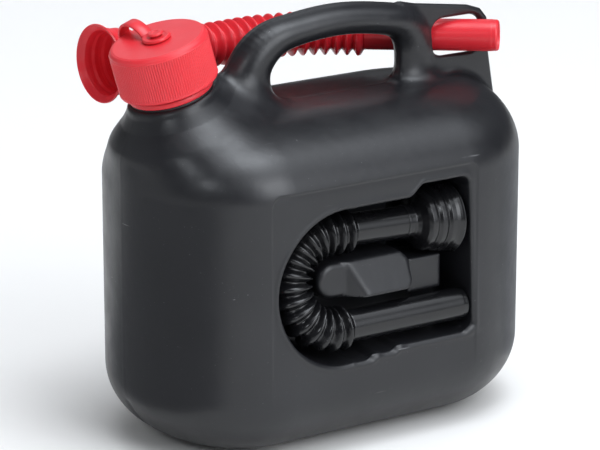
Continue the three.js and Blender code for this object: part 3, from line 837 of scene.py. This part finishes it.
# The black spout's: along the recess, half round its left end and back; bend is where it turns
BLACK = {"bend": -28.0, "lip": 22.0, "start": 69.0, "lean": 2.3 * RAD}
HOSE_LENGTH = 112.0


def red_route(distance):
    """Point and direction at a distance from the red spout's lip."""
    mouth, heading, radius = np.array(RED["mouth"]), RED["heading"], RED["radius"]
    full = radius * RED["turn"]
    before = min(distance, RED["straight"])
    bent = min(max(distance - RED["straight"], 0), full)
    after = max(distance - RED["straight"] - full, 0)
    now = heading - bent / radius
    sink = (mouth[2] - RED["height"]) / (RED["straight"] + full)
    slope_now = math.tan(RED["rise"]) if after else -sink
    forward = radius * (math.sin(heading) - math.sin(now))
    sideways = radius * (math.cos(now) - math.cos(heading))
    at = np.array([
        mouth[0] + before * math.cos(heading) + forward + after * math.cos(now),
        mouth[1] + before * math.sin(heading) + sideways + after * math.sin(now),
        mouth[2] - sink * (before + bent) + math.tan(RED["rise"]) * after,
    ])
    along = np.array([math.cos(now), math.sin(now), slope_now])
    return at, along / np.linalg.norm(along)


outlet_low, outlet_high = box_mm("black_spout_outlet")
black_lower = (outlet_low + outlet_high) / 2
black_mouth = np.array([57.5, -56.0, 130.0])
black_across = np.array([0, *(black_lower - black_mouth)[1:]])
black_radius = np.linalg.norm(black_across) / 2
black_across /= np.linalg.norm(black_across)


def black_route(distance):
    """Point and direction at a distance from the black spout's lip, round the recess's left end."""
    straight = black_mouth[0] - BLACK["bend"]
    before = min(distance, straight)
    turn = min(max(distance - straight, 0) / black_radius, math.pi)
    after = max(distance - straight - black_radius * math.pi, 0)
    at = black_mouth + black_across * black_radius * (1 - math.cos(turn))
    at = np.array([black_mouth[0] - before - black_radius * math.sin(turn) + after, at[1], at[2]])
    return at, black_across * math.sin(turn) + np.array([-math.cos(turn), 0, 0])


red_end = RED["start"] + HOSE_LENGTH
at, along = red_route(0)
collar("red", RED["lip"], RED["start"], at, along, "red_collar", spout_red)
red_hose = bellows("red", red_route, RED["start"], red_end, np.array([0, 0, 1.0]), spout_red, SPOUT["pitch"])
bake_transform(red_hose)
at, along = red_route(red_end + 0.01)
outlet("red", at, along, RED["outlet"] + 0.3, "red_spout", spout_red)

black_end = BLACK["start"] + HOSE_LENGTH
foot, _ = black_route(BLACK["start"])
lean = np.array([-math.cos(BLACK["lean"]), 0, math.sin(BLACK["lean"])])
collar("black", BLACK["lip"], BLACK["start"], foot - lean * BLACK["start"], lean, "black_spout", spout_black)
black_up = np.cross([1.0, 0, 0], black_across)
black_hose = bellows("black", black_route, BLACK["start"], black_end, black_up, spout_black, SPOUT["pitch"])
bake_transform(black_hose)
outlet("black", np.array([outlet_low[0] - 0.3, *black_lower[1:]]), (1, 0, 0),
       outlet_high[0] - outlet_low[0] + 0.3, "black_outlet", spout_black)

# ------------------------------------------------------------------ floor, light and camera


FLOOR = {"near": -6.0, "far": 3.2, "half_width": 9.0, "below": 0.0002}
BACKDROP = {"bend": 1.5, "top": 6.0, "steps": 24}
LAMP_AWAY = 1.7
AIM = (0, 0, 0.15)


def paper(name, outline, material):
    """A plain sheet that runs across the view, its side view given as (y, z) in metres."""
    width = FLOOR["half_width"]
    verts = [(x, y, z - FLOOR["below"]) for y, z in outline for x in (-width, width)]
    faces = [(2 * k, 2 * k + 1, 2 * k + 3, 2 * k + 2) for k in range(len(outline) - 1)]
    piece = make(name, np.array(verts) / MM, faces, material=material)
    piece.matrix_world = Matrix.Rotation(-VIEW_TURN, 4, "Z")
    return piece


def card(name, dark, light, scale):
    """Matt card, its grey drifting a little between two colours."""
    material = bpy.data.materials.new(name)
    material.use_nodes = True
    tree = material.node_tree
    shader = tree.nodes["Principled BSDF"]
    shader.inputs["Roughness"].default_value = 0.88
    grain = tree.nodes.new("ShaderNodeTexNoise")
    grain.inputs["Scale"].default_value = scale
    remap = tree.nodes.new("ShaderNodeValToRGB")
    for element, colour in zip(remap.color_ramp.elements, (dark, light)):
        element.color = (*colour, 1)
    tree.links.new(grain.outputs["Fac"], remap.inputs["Fac"])
    tree.links.new(remap.outputs["Color"], shader.inputs["Base Color"])
    return material


def floor():
    """A large pale floor, and a pale backdrop that curves up from it and isn't mirrored."""
    white = card("paper", (0.90, 0.885, 0.86), (0.93, 0.915, 0.89), 3)
    far, bend = FLOOR["far"], BACKDROP["bend"]
    curve = []
    for k in range(BACKDROP["steps"] + 1):
        angle = k / BACKDROP["steps"] * 90 * RAD
        curve.append((far + bend * math.sin(angle), bend * (1 - math.cos(angle))))
    paper("floor", [(FLOOR["near"], 0.0), (far, 0.0)], white)
    backdrop = paper("backdrop", curve + [(far + bend, BACKDROP["top"])], white)
    backdrop.visible_glossy = False
    backdrop.visible_shadow = False


def flag(name, outline, dark):
    """A dark sheet on the floor beside the can, there only to be mirrored in its plastic."""
    piece = make(name, [(x, y, 1.5) for x, y in outline], [(0, 1, 2, 3)])
    lighter = (dark + 0.05, dark + 0.05, dark + 0.06)
    piece.data.materials.append(card(f"{name}_card", (dark, dark, dark), lighter, 40))
    piece.visible_camera = False
    piece.visible_diffuse = False
    piece.visible_shadow = False


def soft_box(name, place, aim, size, power, colour):
    """A rectangular area lamp that points at aim."""
    light = bpy.data.lights.new(name, "AREA")
    light.shape = "RECTANGLE"
    light.size, light.size_y = size
    light.energy = power
    light.color = colour
    lamp = bpy.data.objects.new(name, light)
    bpy.context.scene.collection.objects.link(lamp)
    lamp.location = place
    lamp.rotation_euler = (Vector(aim) - Vector(place)).to_track_quat("-Z", "Y").to_euler()


VIEW_TURN = 32.89 * RAD
VIEW_RISE = 17.07 * RAD
CAMERA_AT = Vector((-1.01943, -1.56195, 0.68915))
FOCAL = 194.6

right = Vector((math.cos(VIEW_TURN), -math.sin(VIEW_TURN), 0))
back = Vector((
    -math.sin(VIEW_TURN) * math.cos(VIEW_RISE),
    -math.cos(VIEW_TURN) * math.cos(VIEW_RISE),
    math.sin(VIEW_RISE),
))
up = back.cross(right)
lens = bpy.data.cameras.new("camera")
lens.lens = FOCAL
lens.sensor_width = 36
lens.clip_end = 30
camera = bpy.data.objects.new("camera", lens)
bpy.context.scene.collection.objects.link(camera)
camera.matrix_world = Matrix.Translation(CAMERA_AT) @ Matrix((right, up, back)).transposed().to_4x4()
bpy.context.scene.camera = camera

floor()


def facing(azimuth, height):
    """A direction: azimuth from -Y towards +X and height above the horizon, in degrees."""
    a, h = azimuth * RAD, height * RAD
    return Vector((math.sin(a) * math.cos(h), -math.cos(a) * math.cos(h), math.sin(h)))


def room(base, glows):
    """A dim pale room whose walls glow softly around some directions."""
    world = bpy.data.worlds.new("studio")
    world.use_nodes = True
    tree = world.node_tree
    direction = tree.nodes.new("ShaderNodeTexCoord").outputs["Generated"]
    total = None
    for azimuth, height, core, edge, strength in glows:
        dot = tree.nodes.new("ShaderNodeVectorMath")
        dot.operation = "DOT_PRODUCT"
        tree.links.new(direction, dot.inputs[0])
        dot.inputs[1].default_value = facing(azimuth, height)
        fall = tree.nodes.new("ShaderNodeMapRange")
        fall.interpolation_type = "SMOOTHSTEP"
        fall.inputs["From Min"].default_value = math.cos(edge * RAD)
        fall.inputs["From Max"].default_value = math.cos(core * RAD)
        fall.inputs["To Max"].default_value = strength
        tree.links.new(dot.outputs["Value"], fall.inputs["Value"])
        if total is None:
            total = fall.outputs["Result"]
            continue
        add = tree.nodes.new("ShaderNodeMath")
        tree.links.new(total, add.inputs[0])
        tree.links.new(fall.outputs["Result"], add.inputs[1])
        total = add.outputs[0]
    add = tree.nodes.new("ShaderNodeMath")
    add.inputs[1].default_value = base
    tree.links.new(total, add.inputs[0])
    background = tree.nodes["Background"]
    background.inputs["Color"].default_value = (0.90, 0.94, 1.0, 1)
    tree.links.new(add.outputs[0], background.inputs["Strength"])
    bpy.context.scene.world = world


# Glows: azimuth, height, core and edge in degrees, and strength
room(0.09, [
    (30, 84, 12, 34, 2.0), (8, 52, 10, 30, 1.1), (14, 22, 12, 32, 2.0), (62, 56, 8, 26, 1.5),
    (-118, 4, 12, 46, 0.3), (163, 36, 12, 28, 0.7),
])
soft_box("overhead", facing(30, 80) * LAMP_AWAY, AIM, (0.75, 0.75), 8.5, (0.88, 0.94, 1.0))
soft_box("key", facing(8, 34) * LAMP_AWAY, AIM, (0.8, 1.1), 7.5, (0.93, 0.96, 1.0))
soft_box("side", facing(-59, 35) * LAMP_AWAY, AIM, (0.26, 0.32), 2.5, (0.90, 0.95, 1.0))
flag("front_flag", [(-150, -105), (-150, 210), (-900, 900), (-900, -850)], 0.27)
flag("rear_flag", [(160, -60), (900, -250), (900, 900), (150, 250)], 0.5)

bpy.context.scene.view_settings.view_transform = "Standard"
